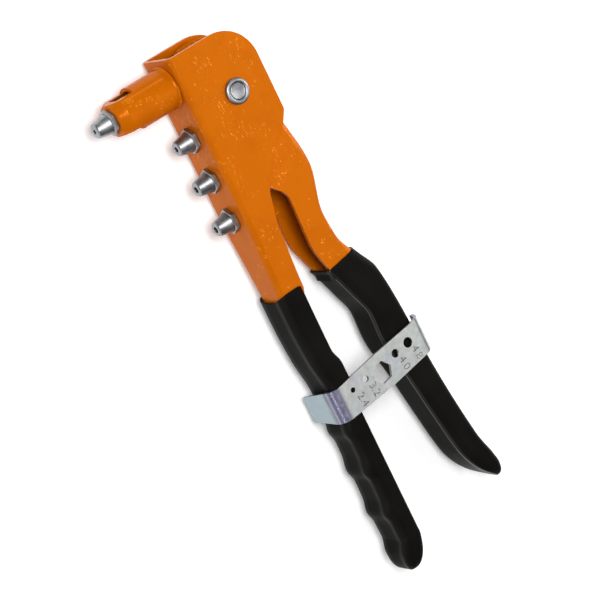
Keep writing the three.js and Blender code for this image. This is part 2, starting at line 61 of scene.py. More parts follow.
LEVER_STEEL = 8.8
LEVER_GRIP_HALF = 10.0
LOBE_R = 26.6
PIN_R = 4.0
PIN_HEAD_R = 6.2
AXIS_Y = 15.0  # height of the barrel's axis, which lies in the plane z = MID
BARREL_R = 10.15  # and it has a flat on each side, up to FLAT_X
BARREL_NOSE_X = -56.8
BORE_R = 8.2
SPIGOT_R = BORE_R + 0.9  # the barrel's end in the web
BORE_END_X = -52.0
FLAT_Y = 7.7
FLAT_X = -44.0
PULL_R = 15.7  # arm and angle of the stub pins that pull the jaw case
PULL_ANGLE = 72.5
STUB_R = 2.0
SPARE_Y = (-11.4, -32.2, -53.0)
SPARE_BORE = (2.6, 3.1, 3.1)
FITTED_BORE = 2.1
SCREW_R = 3.2  # screwed ends of the nosepieces
CLIP_SHEET = 1.5
CLIP_TOP = 27.9


# ---- mesh helpers ---------------------------------------------------------------------------
SAME = 1e-6  # metres within which two points are one
FLAT_ANGLE = 0.004  # radians between faces that count as one


def new_object(name, mesh):
    ob = bpy.data.objects.new(name, mesh)
    bpy.context.scene.collection.objects.link(ob)
    return ob


@contextmanager
def edited(mesh):
    """The mesh as a bmesh, which is written back at the end."""
    bm = bmesh.new()
    bm.from_mesh(mesh)
    yield bm
    bm.to_mesh(mesh)
    bm.free()


def piece(name, verts, faces):
    """A mesh object from points in millimetres, its faces turned outward."""
    mesh = bpy.data.meshes.new(name)
    mesh.from_pydata([Vector(v) * MM for v in verts], [], faces)
    with edited(mesh) as bm:
        bmesh.ops.remove_doubles(bm, verts=bm.verts, dist=SAME)
        bmesh.ops.recalc_face_normals(bm, faces=bm.faces)
    return new_object(name, mesh)


def outline(corners, step=5.0):
    """Points of an outline given by corners (x, y, radius)."""
    points, n = [], len(corners)
    for i, corner in enumerate(corners):
        at = Vector(corner[:2])
        radius = corner[2] if len(corner) > 2 else 0
        before = (Vector(corners[i - 1][:2]) - at).normalized()
        after = (Vector(corners[(i + 1) % n][:2]) - at).normalized()
        half = before.angle(after) / 2
        if not radius or half > 1.56:
            points.append(at)
            continue
        centre = at + (before + after).normalized() * (radius / math.sin(half))
        start = at + before * (radius / math.tan(half)) - centre
        turn = math.pi - 2 * half
        side = 1 if before.cross(after) > 0 else -1
        count = max(2, round(math.degrees(turn) / step))
        for k in range(count + 1):
            points.append(centre + Matrix.Rotation(-side * turn * k / count, 2) @ start)
    return points


def loft(name, rings, cap=True):
    """A skin over rings of the same number of points, with flat ends."""
    n = len(rings[0])
    verts = [p for ring in rings for p in ring]
    faces = []
    for i in range(len(rings) - 1):
        for k in range(n):
            a, b = i * n + k, i * n + (k + 1) % n
            faces.append((a, b, b + n, a + n))
    if cap:
        faces.append(tuple(range(n)))
        faces.append(tuple((len(rings) - 1) * n + k for k in range(n)))
    return piece(name, verts, faces)


def prism(points, z0, z1):
    return loft("cutter", [[(p[0], p[1], z) for p in points] for z in (z0, z1)])


def box(x0, x1, y0, y1, z0, z1):
    return prism([(x0, y0), (x1, y0), (x1, y1), (x0, y1)], z0, z1)


def circle(radius, sides, turn=0.0):
    return [
        (radius * math.cos(2 * math.pi * k / sides + turn),
         radius * math.sin(2 * math.pi * k / sides + turn))
        for k in range(sides)
    ]


def rod_z(x, y, r, z0, z1, sides=64):
    return prism([(x + u, y + v) for u, v in circle(r, sides)], z0, z1)


def rod_x(y, r, x0, x1, sides=64, z=MID):
    ring = circle(r, sides)
    return loft("cutter", [[(x, y + u, z + v) for u, v in ring] for x in (x0, x1)])


def turned(name, profile, sides=96, y=AXIS_Y, z=MID):
    """A turned piece along X; profile points are (x, radius) and close on themselves."""
    verts, faces, n = [], [], len(profile)
    for x, r in profile:
        verts += [(x, y + u, z + v) for u, v in circle(r, sides)]
    for i in range(n):
        j = (i + 1) % n
        for k in range(sides):
            after = (k + 1) % sides
            faces.append((i * sides + k, i * sides + after, j * sides + after, j * sides + k))
    return piece(name, verts, faces)


def bake(ob):
    """Applies the object's modifiers."""
    graph = bpy.context.evaluated_depsgraph_get()
    mesh = bpy.data.meshes.new_from_object(ob.evaluated_get(graph), depsgraph=graph)
    ob.modifiers.clear()
    old, ob.data = ob.data, mesh
    bpy.data.meshes.remove(old)
    mesh.name = ob.name


def combine(ob, cutters, operation="DIFFERENCE"):
    """Cuts the cutters from the object, or intersects it with them, and removes them."""
    for cutter in cutters:
        m = ob.modifiers.new("cut", "BOOLEAN")
        m.object, m.operation, m.solver = cutter, operation, "EXACT"
    bake(ob)
    for cutter in cutters:
        mesh = cutter.data
        bpy.data.objects.remove(cutter)
        bpy.data.meshes.remove(mesh)
    with edited(ob.data) as bm:
        bmesh.ops.remove_doubles(bm, verts=bm.verts, dist=2 * SAME)
        bmesh.ops.dissolve_degenerate(bm, edges=bm.edges, dist=2 * SAME)
        bmesh.ops.dissolve_limit(bm, angle_limit=FLAT_ANGLE, verts=bm.verts, edges=bm.edges)
    return ob


def round_edges(ob, width, segments, angle):
    """A bevel, in millimetres, on the edges sharper than the angle in degrees."""
    m = ob.modifiers.new("edges", "BEVEL")
    m.width, m.segments, m.limit_method = width * MM, segments, "ANGLE"
    m.angle_limit, m.use_clamp_overlap = math.radians(angle), True
    m.miter_outer = "MITER_ARC"


def finish(ob, body, material, nodes=(), bevel=0.0, segments=3, angle=32.0):
    """Rounded edges, smooth shading, material, and the body that the piece rides on."""
    for polygon in ob.data.polygons:
        polygon.use_smooth = True
    if bevel:
        round_edges(ob, bevel, segments, angle)
    else:
        ob.data.set_sharp_from_angle(angle=math.radians(angle))
    m = ob.modifiers.new("normals", "WEIGHTED_NORMAL")
    m.keep_sharp, m.weight = True, 60
    ob.data.materials.clear()
    ob.data.materials.append(material)
    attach(ob, body)
    if nodes:
        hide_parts(*nodes)
    return ob


def smooth(table, y):
    """A value on the smooth curve through a table of (y, value) rows, level at its turns."""
    i = 0
    while i < len(table) - 2 and y < table[i + 1][0]:
        i += 1

    def rise(k):
        (y0, v0), (y1, v1) = table[k], table[k + 1]
        return (v1 - v0) / (y1 - y0)

    def slope(k):
        if k == 0 or k == len(table) - 1:
            return rise(min(k, len(table) - 2))
        a, b = rise(k - 1), rise(k)
        return 2 * a * b / (a + b) if a * b > 0 else 0.0

    (y0, v0), (y1, v1) = table[i], table[i + 1]
    h = y1 - y0
    t = min(1.0, max(0.0, (y - y0) / h))
    return ((1 + 2 * t) * (1 - t) ** 2 * v0 + t * (1 - t) ** 2 * h * slope(i)
            + t * t * (3 - 2 * t) * v1 + t * t * (t - 1) * h * slope(i + 1))


def spaced(start, end, step):
    """Even steps from start to end, of about the given size."""
    count = max(1, round(abs(end - start) / step))
    return [start + (end - start) * i / count for i in range(count + 1)]


# sections are drawn on a square: x from 0 at the front to FULL at the rear, z from -HALF to HALF
FULL, HALF = 20, 10


def across(section, front, rear, half, y):
    """The section with its front, rear and sides moved to their places."""
    ring = []
    for u, v in section:
        x = front + u if u < HALF else rear + u - FULL
        ring.append((x, y, MID + math.copysign(half - HALF + abs(v), v)))
    return ring


def channel(t, r, open_front=False):
    """Section of a channel of sheet t with corners of radius r, open at the rear or the front."""
    inside = HALF - t
    points = outline([
        (FULL, HALF), (0, HALF, r), (0, -HALF, r), (FULL, -HALF), (FULL, -inside),
        (t, -inside, r - t), (t, inside, r - t), (FULL, inside)], 9)
    return [Vector((FULL - p.x, p.y)) for p in points] if open_front else points


# ---- materials ------------------------------------------------------------------------------
class Shader:
    """A procedural material built step by step round one Principled shader."""

    def __init__(self, name):
        self.material = bpy.data.materials.new(name)
        self.material.use_nodes = True
        self.tree = self.material.node_tree
        self.bsdf = self.tree.nodes["Principled BSDF"]
        self.where = self.add("ShaderNodeTexCoord").outputs["Object"]

    def add(self, kind, **settings):
        node = self.tree.nodes.new(kind)
        for key, value in settings.items():
            setattr(node, key, value)
        return node

    def link(self, a, b):
        self.tree.links.new(a, b)

    def stretched(self, sx, sy, sz):
        node = self.add("ShaderNodeMapping")
        node.inputs["Scale"].default_value = (sx, sy, sz)
        self.link(self.where, node.inputs["Vector"])
        return node.outputs["Vector"]

    def noise(self, size, detail=3.0, rough=0.55, where=None, warp=0.0):
        """Noise with features of about the given size in millimetres."""
        node = self.add("ShaderNodeTexNoise")
        node.inputs["Scale"].default_value = 1000 / size
        node.inputs["Detail"].default_value = detail
        node.inputs["Roughness"].default_value = rough
        node.inputs["Distortion"].default_value = warp
        self.link(where or self.where, node.inputs["Vector"])
        return node.outputs["Fac"]

    def spread(self, value, low, high, to_low=0.0, to_high=1.0):
        node = self.add("ShaderNodeMapRange")
        for key, number in zip(("From Min", "From Max", "To Min", "To Max"),
                               (low, high, to_low, to_high)):
            node.inputs[key].default_value = number
        self.link(value, node.inputs["Value"])
        return node.outputs["Result"]

    def math(self, operation, a, b):
        node = self.add("ShaderNodeMath", operation=operation)
        for i, value in enumerate((a, b)):
            if isinstance(value, (int, float)):
                node.inputs[i].default_value = value
            else:
                self.link(value, node.inputs[i])
        return node.outputs[0]

    def blend(self, factor, a, b):
        """A mix of two colours, each a tuple or a socket."""
        node = self.add("ShaderNodeMix", data_type="RGBA")
        self.link(factor, node.inputs[0])
        for socket, value in ((node.inputs[6], a), (node.inputs[7], b)):
            if isinstance(value, tuple):
                socket.default_value = (*value, 1)
            else:
                self.link(value, socket)
        return node.outputs[2]

    def bump(self, height, depth, below=None):
        """A bump whose height of 1 stands for the given depth in millimetres."""
        node = self.add("ShaderNodeBump")
        node.inputs["Strength"].default_value = 1.0
        node.inputs["Distance"].default_value = depth * MM
        self.link(height, node.inputs["Height"])
        if below:
            self.link(below, node.inputs["Normal"])
        return node.outputs["Normal"]

    def set(self, **values):
        for key, value in values.items():
            socket = self.bsdf.inputs[key.replace("_", " ")]
            if isinstance(value, bpy.types.NodeSocket):
                self.link(value, socket)
            elif isinstance(value, tuple):
                socket.default_value = (*value, 1) if len(value) == 3 else value
            else:
                socket.default_value = value


def orange_paint():
    s = Shader("orange_powder_coat")
    peel = s.noise(1.1, 2, 0.5)
    sags = s.noise(9, 3, 0.5, warp=0.4)
    patches = s.noise(38, 2)
    colour = s.blend(s.spread(patches, 0.3, 0.7), (0.485, 0.109, 0.0006), (0.525, 0.122, 0.0012))
    colour = s.blend(s.spread(sags, 0.25, 0.5, 0.3, 0.0), colour, (0.41, 0.082, 0.0004))
    worn = s.spread(s.noise(0.6, 2, 0.7), 0.74, 0.82, 0.0, 0.55)
    colour = s.blend(worn, colour, (0.28, 0.05, 0.002))
    # small runs and lumps in the coat, in drifts; their edges get painted highlights in a light
    # orange, standing in for light catching them
    drift = s.spread(s.noise(15, 2, 0.5, warp=0.3), 0.48, 0.60)
    lumps = s.spread(s.noise(1.4, 1.5, 0.5, s.stretched(1, 0.45, 1)), 0.56, 0.74)
    lumps = s.math("MULTIPLY", lumps, drift)
    glint_rims = s.math("MULTIPLY", s.spread(lumps, 0.1, 0.3), s.spread(lumps, 0.5, 0.25))
    painted_glints = s.math("MULTIPLY", glint_rims, s.spread(s.noise(0.7, 1, 0.5), 0.5, 0.62, 0.0, 0.8))
    # painted highlight: the lumps' rims are coloured light orange, as glints
    colour = s.blend(painted_glints, colour, (1.0, 0.42, 0.05))
    rough = s.spread(s.noise(14, 3), 0.3, 0.7, 0.18, 0.28)
    normal = s.bump(sags, 0.16)
    normal = s.bump(lumps, 0.09, normal)
    normal = s.bump(peel, 0.014, normal)
    s.set(Base_Color=colour, Roughness=rough, Normal=normal, Specular_IOR_Level=0.05,
          Metallic=0.12)
    return s.material


def black_vinyl():
    s = Shader("black_vinyl")
    grain = s.noise(0.8, 3, 0.6)
    waves = s.noise(16, 3, 0.5, s.stretched(1, 0.45, 1))
    # lighter specks: dust, and painted sheen standing in for faint highlights on the vinyl
    dust_and_sheen = s.spread(s.noise(0.9, 4, 0.75), 0.66, 0.86, 0.0, 0.35)
    colour = s.blend(s.spread(s.noise(30, 3), 0.3, 0.7), (0.0044, 0.0042, 0.0036),
                     (0.0075, 0.0070, 0.0060))
    colour = s.blend(dust_and_sheen, colour, (0.016, 0.0150, 0.0135))
    seam = s.add("ShaderNodeAttribute", attribute_name="seam").outputs["Fac"]
    rough = s.spread(waves, 0.25, 0.75, 0.3, 0.46)
    normal = s.bump(waves, 0.3)
    normal = s.bump(grain, 0.014, normal)
    s.set(Base_Color=colour, Roughness=rough, Normal=normal,
          Specular_IOR_Level=s.spread(seam, 0, 1, 0.016, 0.5))
    return s.material


# Painted reflections at the clip's bend: dark and violet bands, and a bluish tone on the leg, stand
# in for the surroundings mirrored in the bent plating. Their places along X in millimetres, and
# their colours with how far each one covers the plating.
BEND_X = (-25.32, -25.08, -24.88, -24.5, -23.6, -21.2, -20.0, -19.0, -17.6)
BEND_REFLECTION_TONES = (
    (0.27, 0.35, 0.39, 0.95), (0.07, 0.07, 0.12, 0.95), (0.25, 0.25, 0.34, 0.9),
    (0.08, 0.07, 0.16, 0.95), (0.20, 0.19, 0.36, 0.9), (0.28, 0.27, 0.46, 0.85),
    (0.14, 0.14, 0.22, 0.8), (0.45, 0.45, 0.47, 0.6), (0.55, 0.57, 0.56, 0.0))


def plated_strip():
    s = Shader("zinc_clip")
    mottle = s.noise(3.2, 4, 0.62)
    clouds = s.noise(11, 3, 0.5, warp=0.6)
    colour = s.blend(s.spread(mottle, 0.3, 0.7), (0.50, 0.525, 0.51), (0.66, 0.685, 0.665))
    violet = s.spread(clouds, 0.56, 0.70, 0.0, 0.45)
    colour = s.blend(violet, colour, (0.50, 0.50, 0.62))
    pink = s.spread(s.noise(6, 3, 0.5), 0.60, 0.72, 0.0, 0.35)
    colour = s.blend(pink, colour, (0.66, 0.58, 0.60))
    # the painted reflection bands at the bend wander a little across the strip
    at = s.add("ShaderNodeSeparateXYZ")
    s.link(s.where, at.inputs[0])
    wander = s.spread(s.noise(4, 3, 0.6, s.stretched(1, 0.3, 1)), 0.2, 0.8, -0.1 * MM, 0.1 * MM)
    along = s.math("ADD", at.outputs["X"], wander)
    ramp = s.add("ShaderNodeValToRGB")
    start, end = BEND_X[0], BEND_X[-1]
    s.link(s.spread(along, start * MM, end * MM), ramp.inputs[0])
    stops = ramp.color_ramp.elements
    for x, tone in zip(BEND_X, BEND_REFLECTION_TONES):
        share = (x - start) / (end - start)
        stop = stops[0] if share == 0 else stops[-1] if share == 1 else stops.new(share)
        stop.color = tone
    speckle = s.spread(s.noise(0.7, 3, 0.7), 0.35, 0.7, 0.75, 1.0)
    reflection_bands = s.math("MULTIPLY", ramp.outputs["Alpha"], speckle)
    # painted reflection: the bands' colours are laid over the plating
    colour = s.blend(reflection_bands, colour, ramp.outputs["Color"])
    # painted shade: its sheared edges, picked out by facing along Y, are coloured dark violet-grey,
    # as the darker reflection those edges show
    facing = s.add("ShaderNodeSeparateXYZ")
    s.link(s.add("ShaderNodeNewGeometry").outputs["Normal"], facing.inputs[0])
    sheared_edge_shade = s.spread(s.math("ABSOLUTE", facing.outputs["Y"], 0), 0.6, 0.85, 0.0, 0.85)
    colour = s.blend(sheared_edge_shade, colour, (0.21, 0.20, 0.26))
    # painted shade: the floors of the stamped numbers are coloured dark, as shade in the recesses
    level = s.math("MULTIPLY", at.outputs["Z"], 1000)
    stamp_shade = s.math("MULTIPLY", s.spread(level, CLIP_TOP - 0.25, CLIP_TOP - 0.4, 0.0, 0.5),
                  s.spread(level, CLIP_TOP - 0.9, CLIP_TOP - 0.7))
    flat = s.spread(at.outputs["X"], -18.4 * MM, -17.6 * MM)
    # painted shade in the stamped recesses
    colour = s.blend(s.math("MULTIPLY", stamp_shade, flat), colour, (0.14, 0.14, 0.13))
    rough = s.spread(s.noise(2.0, 4, 0.6), 0.3, 0.7, 0.30, 0.44)
    scratch = s.noise(0.5, 3, 0.6, s.stretched(1, 0.08, 1))
    normal = s.bump(mottle, 0.022)
    normal = s.bump(scratch, 0.006, normal)
    s.set(Base_Color=colour, Roughness=rough, Normal=normal, Metallic=1.0)
    return s.material


def turned_steel(name="hardened_steel", dark=0.42, light=0.58, rough=(0.24, 0.4)):
    s = Shader(name)
    rings = s.noise(0.35, 2, 0.5, s.stretched(1, 0.06, 0.06))
    stain = s.noise(5, 4, 0.6)
    colour = s.blend(s.spread(stain, 0.3, 0.7), (dark * 0.97, dark, dark * 1.05),
                     (light * 0.98, light, light * 1.03))
    s.set(Base_Color=colour, Roughness=s.spread(stain, 0.3, 0.7, *rough),
          Normal=s.bump(rings, 0.008), Metallic=1.0)
    return s.material


PAINT = orange_paint()
VINYL = black_vinyl()
BRIGHT = turned_steel("zinc_turned", 0.24, 0.38, (0.32, 0.48))
RIVET = turned_steel("zinc_rivet", 0.23, 0.34, (0.36, 0.52))
CLIP_ZINC = plated_strip()
STEEL = turned_steel()
WIRE = turned_steel("spring_wire", 0.3, 0.42, (0.3, 0.42))

# ---- fixed frame ----------------------------------------------------------------------------
# outlines seen along Z, and tables of (y, x) or (y, half width) rows for smooth()
FRAME_SIDE = outline([
    (WEB_X - 1, HEAD_TOP), (18.4, HEAD_TOP, 18.3), (18.5, -18.5, 4), (14.4, -24.8, 3),
    (4, -31.2, 9), (-7.2, -48.5, 10), (-10.2, -62, 20), (-11, -96), (-12.9, -101, 4),
    (-12.9, FRAME_END, 5), (-30, FRAME_END)], 3)
FRAME_HALF = [(30, 13), (-50, 13), (-97, 9.6), (-230, 9.6)]
FRAME_FRONT = [(30, WEB_X), (-100, WEB_X), (-146, -20.7), (-230, -20.5)]


def build_frame():
    section = channel(SHEET, 2.8)
    rows = [HEAD_TOP + 1, -50, *spaced(-52, -98, 2.0), *spaced(-100, -146, 6), FRAME_END - 1]
    ob = loft("frame_shell", [
        across(section, smooth(FRAME_FRONT, y), 22, smooth(FRAME_HALF, y), y) for y in rows])
    combine(ob, [prism(FRAME_SIDE, -5, 35)], "INTERSECT")
    combine(ob, [
        rod_z(0, 0, PIN_R + GAP, -1, 31), rod_x(AXIS_Y, SPIGOT_R + GAP, -30, -15, 96),
        *[rod_x(y, SCREW_R + GAP, -30, -15, 48) for y in SPARE_Y]])
    return finish(ob, "frame", PAINT, ["frame_body"], 0.5, 4)


build_frame()


# ---- lever ----------------------------------------------------------------------------------
LEVER_REAR = [
    (-6, 16.2), (-20, 17.3), (-47, 21.4), (-72, 16.2), (-84, 17.6), (-106, 28.4), (-128, 31.4),
    (-160, 33.5), (-206, 39.4), (-222, 43.2)]
LEVER_SIDE = outline([
    (-9.2, 24.8), (-9.2, 30), (11.6, 30), (15.4, 14, 4), (45, -8), (50, -206), (40, -214.5, 4),
    (30, -210, 6), (26.6, -202, 12), (22.6, -180, 60), (16.4, -139, 20), (16.8, -124, 18),
    (5.6, -96, 25), (1.2, -82, 25), (2.2, -54, 8), (-5, -46.8, 3), (-9.5, -34, 8),
    (-11, -8, 20), (-9.6, 12, 20)], 3)
LEVER_WIDE = [(0, LEVER_HALF), (-76, LEVER_HALF), (-96, LEVER_STEEL), (-230, LEVER_STEEL)]
PULL_AT = (PULL_R * math.cos(math.radians(PULL_ANGLE)),
           PULL_R * math.sin(math.radians(PULL_ANGLE)))


def build_lever():
    section = channel(SHEET, 4.2, True)
    ob = loft("lever_shell", [
        across(section, -30, smooth(LEVER_REAR, y), smooth(LEVER_WIDE, y), y)
        for y in [40, *spaced(-8, -222, 2.0)]])
    inner = LEVER_HALF - SHEET
    combine(ob, [box(-31, 31, -15, 41, MID - inner, MID + inner)])
    combine(ob, [prism(LEVER_SIDE, 0, 30)], "INTERSECT")
    lobe = [(LOBE_R * math.cos(a), LOBE_R * math.sin(a))
            for a in (math.radians(d) for d in range(-12, 193, 2))]
    combine(ob, [prism([*lobe, (-30, -6), (-30, -240), (60, -240), (60, -6)], -1, 31)],
            "INTERSECT")
    combine(ob, [rod_z(0, 0, PIN_R + GAP, -1, 31), rod_z(*PULL_AT, STUB_R + GAP, -1, 31)])
    return finish(ob, "lever", PAINT, ["lever_body"], 0.45, 3)


build_lever()


# ---- barrel, nosepieces, pivot --------------------------------------------------------------
def build_barrel():
    ob = turned("barrel", [
        (BARREL_NOSE_X, 3.9), (BARREL_NOSE_X, 7.3), (BARREL_NOSE_X + 0.2, 7.75),
        (BARREL_NOSE_X + 0.7, 8.1), (BARREL_NOSE_X + 4.4, 10.05), (BARREL_NOSE_X + 4.8, BARREL_R),
        (WEB_X - 1.9, BARREL_R), (WEB_X - 1.2, 10.25), (WEB_X - 0.7, 10.5),
        (WEB_X - GAP, 10.95), (WEB_X - GAP, SPIGOT_R), (WEB_X + 1.9, SPIGOT_R),
        (WEB_X + 1.9, BORE_R), (FLAT_X + 3, BORE_R), (FLAT_X + 2.7, 8.5), (BORE_END_X, 8.5),
        (BORE_END_X - 1.6, 3.9)], 128)
    combine(ob, [box(-60, FLAT_X, AXIS_Y + FLAT_Y, AXIS_Y + FLAT_Y + 10, 0, 30),
                 box(-60, FLAT_X, AXIS_Y - FLAT_Y - 10, AXIS_Y - FLAT_Y, 0, 30)])
    return finish(ob, "frame", PAINT, ["nose_barrel"], 0.3, 3, 28)


def build_nosepiece(name, x, y, bore, node):
    """A hexagonal flange and a turned cone with its screwed end, with the flange's seat at x."""
    flange, length, wide, shank = 2.1, 9.3, 11.2, 8.4
    corner = wide / 2 / math.cos(math.pi / 6)
    ring = circle(corner, 6, math.pi / 6)
    hexagon = loft(f"{name}_flange", [
        [(x + s, y + v, MID + u) for u, v in ring] for s in (0, -flange)])
    combine(hexagon, [turned("cutter", [
        (x + 0.5, 0.001), (x + 0.5, corner - 0.6), (x - 0.5, corner + 0.1),
        (x - flange + 0.75, corner + 0.1), (x - flange - 0.6, corner - 2.0),
        (x - flange - 0.6, 0.001)], 96, y)], "INTERSECT")
    cone = turned(f"{name}_cone", [
        (x - length, bore / 2), (x - length, 2.9), (x - length + 0.12, 3.2),
        (x - length + 0.55, 3.62), (x - flange - 0.9, wide / 2 - 0.75),
        (x - flange - 0.45, wide / 2 - 0.55), (x - flange + 0.2, wide / 2 - 0.5),
        (x - flange + 0.2, SCREW_R), (x + 5.2, SCREW_R), (x + 5.7, 2.4), (x + shank - 1.5, 2.4),
        (x + shank, 1.95), (x + shank, bore / 2)], 64, y)
    combine(hexagon, [rod_x(y, 3.0, x - 5, x + 5, 64)])
    finish(hexagon, "frame", BRIGHT, (), 0.16, 2, 25)
    return finish(cone, "frame", BRIGHT, [node], 0.12, 2, 25)


build_barrel()
build_nosepiece("fitted", BARREL_NOSE_X - GAP, AXIS_Y, FITTED_BORE, "nosepiece_fitted")
for i, spare_y in enumerate(SPARE_Y):
    build_nosepiece(f"spare_{i + 1}", WEB_X - GAP, spare_y, SPARE_BORE[i],
                    f"nosepiece_spare_{i + 1}")


def turned_up(name, profile, sides=96):
    """A turned piece along Z at the pivot; profile points are (z, radius)."""
    ob = turned(name, profile, sides, 0, 0)
    ob.data.transform(Matrix.Rotation(-math.pi / 2, 4, "Y"))
    with edited(ob.data) as bm:
        bmesh.ops.recalc_face_normals(bm, faces=bm.faces)
    return ob


collar = turned_up("pivot_ring", [
    (28 + GAP, PIN_R + 0.1), (28 + GAP, PIN_HEAD_R), (29.1, PIN_HEAD_R), (29.45, 6.1),
    (29.75, 5.8), (29.9, 5.4), (30, 4.9), (29.95, 4.5), (29.6, PIN_R + 0.1)])
finish(collar, "frame", RIVET, ["pivot_collar"], angle=40)
pin = turned_up("pivot_rivet", [
    (0, 0.001), (0, 5.2), (0.15, 5.7), (0.5, 6.1), (0.9, PIN_HEAD_R), (2 - GAP, PIN_HEAD_R),
    (2 - GAP, PIN_R), (29.35, PIN_R), (29.6, 3.85), (29.7, 3.6), (29.6, 3.3), (29.5, 0.001)])
finish(pin, "frame", RIVET, ["pivot_pin"], angle=40)

# ---- grips ----------------------------------------------------------------------------------
FINGERS = [
    (-90, -25.9), (-110, -25.9), (-128, -25.1), (-147, -22.7), (-160, -22.7), (-168, -24.2),
    (-173.5, -22.9), (-181, -23.0), (-189.5, -24.4), (-195.5, -22.8), (-205, -23.0),
    (-212.5, -24.5), (-218.5, -23.1), (-228.5, -22.9), (-236, -24.9), (-247, -25.0)]
GRIP_REAR = [
    (-90, -11.3), (-128.8, -11.6), (-137.3, -9.4), (-146, -9.4), (-161, -11.4), (-247, -11.3)]


def grip_section(rear, scale=1.0, edge=1.1, drop=1.3):
    """Section of a grip: a narrow front face, a slanted strip on each side, a round rear."""
    drop, edge, strip = drop * scale, edge * scale, 4.5 * scale
    corner = HALF - drop
    side = [(edge, corner + edge * drop / strip), (strip, HALF, 5 * scale),
            (FULL, HALF, rear * scale)]
    front = [(0, corner, edge), (0, corner - 1.6 * edge)]
    half = [*reversed(side), *front]
    return outline([*half, *((x, -z, *r) for x, z, *r in reversed(half))], 6)


def mark_seam(ob, section, edge, shine):
    """Marks the front corners, where the coat is drawn tight and shines."""
    row = [shine * (x < 0.95 * edge and abs(z) > 8.6 - 1.5 * edge) for x, z in section]
    seam = ob.data.attributes.new("seam", "FLOAT", "POINT")
    seam.data.foreach_set("value", row * (len(ob.data.vertices) // len(row)))


def rounded(t):
    """Quarter-ellipse profile: 1 at t = 0 down to 0 at t = 1."""
    return math.sqrt(max(0.0, 1 - t * t))


SOFT = (3.2, 1.8)  # corner radius and slant of the fixed grip's front


def build_front_grip():
    rings = []

    # rolled upper lip, from the steel outward, then the body, then the rounded end
    def top(x, z):
        side = GRIP_TOP - 0.6 + 2.7 * (x + 30) / 25
        return min(side, GRIP_TOP + 18 - math.sqrt(21.3 ** 2 - (z - MID) ** 2))

    def ring(y, inset, drop=0.0, follow=0.0):
        front, rear = smooth(FINGERS, y) + inset, smooth(GRIP_REAR, y) - inset
        points = across(grip_section(3.6, 1, *SOFT), front, rear, GRIP_HALF - inset, y)
        return [(x, y + follow * (top(x, z) - GRIP_TOP) - drop, z) for x, _, z in points]

    for inset, drop in ((1.25, 6.0), (1.25, 0.8), (1.05, 0.3), (0.75, 0.05), (0.45, 0.0),
                        (0.2, 0.15), (0.05, 0.45), (0.0, 0.9)):
        rings.append(ring(GRIP_TOP, inset, drop, 1.0))
    for y in spaced(GRIP_TOP - 3, GRIP_END + 18, 1.6):
        share = max(0.0, 1 - (GRIP_TOP - y) / 14)
        rings.append(ring(y, 0.0, 0.0, share * share))
    reach = 18.0
    for k in range(1, 25):
        t = math.sin(math.pi / 2 * k / 24)
        y = GRIP_END + reach - reach * t
        half = GRIP_HALF * (0.36 + 0.64 * rounded(t) ** 0.9)
        front = smooth(FINGERS, y) + 3.8 * (1 - rounded(max(0.0, (t - 0.62) / 0.38)))
        rear = smooth(GRIP_REAR, y) - 8.2 * (1 - rounded(t))
        section = grip_section(3.6 + 1.5 * t, min(1.0, (rear - front) / 13), *SOFT)
        rings.append(across(section, front, rear, half, y + 0.8))
    ob = loft("grip_front_skin", rings)
    mark_seam(ob, grip_section(3.6, 1, *SOFT), SOFT[0], 0.12)
    return finish(ob, "frame", VINYL, ["front_grip"], angle=60)


build_front_grip()

LEVER_GRIP_REAR = [
    (-90, 21.2), (-97, 24.3), (-108, 30.4), (-128, 33.1), (-160, 35.1), (-207, 41),
    (-213, 42.6), (-221, 45.3), (-226.5, 46.5), (-230, 46.2), (-233, 44.6)]
LEVER_GRIP_FRONT = [
    (-90, 3.4), (-97, 5.2), (-113, 11), (-126, 15), (-138, 14.6), (-162, 18.8), (-185, 22.3),
    (-208, 26.4), (-213, 28), (-219.5, 31.2), (-225, 35.2), (-229, 39.2), (-231.5, 42),
    (-233, 43.6)]


def build_rear_grip():
    def lip(x):
        return -97.2 + 9.2 * x / 60

    def ring(y, inset, drop=0.0, follow=0.0):
        front, rear = smooth(LEVER_GRIP_FRONT, y) + inset, smooth(LEVER_GRIP_REAR, y) - inset
        points = across(grip_section(5.4), front, rear, LEVER_GRIP_HALF - inset, y)
        return [(x, y + follow * (lip(x) - lip(15)) - drop, z) for x, _, z in points]

    rings = []
    start = lip(15)
    for inset, drop in ((1.0, 6.0), (1.0, 0.7), (0.8, 0.25), (0.5, 0.0), (0.2, 0.15),
                        (0.05, 0.4), (0.0, 0.8)):
        rings.append(ring(start, inset, drop, 1.0))
    for y in spaced(start - 3, -212, 1.6):
        share = max(0.0, 1 - (start - y) / 12)
        rings.append(ring(y, 0.0, 0.0, share * share))
    # boat-shaped end: the front face sweeps back to the lip behind
    for k in range(1, 29):
        t = math.sin(math.pi / 2 * k / 28)
        y = -212 - 20.8 * t
        front, rear = smooth(LEVER_GRIP_FRONT, y), smooth(LEVER_GRIP_REAR, y)
        half = LEVER_GRIP_HALF * (0.2 + 0.8 * rounded(t))
        scale = min(1.0, (rear - front) / 13)
        rings.append(across(grip_section(5.4, scale), front, rear, half, y))
    ob = loft("grip_lever_skin", rings)
    mark_seam(ob, grip_section(5.4), 1.1, 1.0)
    return finish(ob, "lever", VINYL, ["rear_grip"], angle=60)


build_rear_grip()

# ---- keeper clip ----------------------------------------------------------------------------
CLIP_AT = (5.2, -150.5)  # centre of its flat, which is turned by CLIP_TURN degrees
CLIP_TURN = 6.0
CLIP_FLAT = (-19.5, 31.2)  # where its bends begin
CLIP_BEND = 5.6
CLIP_WIDE = 17.7
HEX_AF = 9.6  # width across flats of its spanner hole
HEX_TURN = -20.0
DIGIT_SIZE = 5.8
DIGIT_DEPTH = 0.5


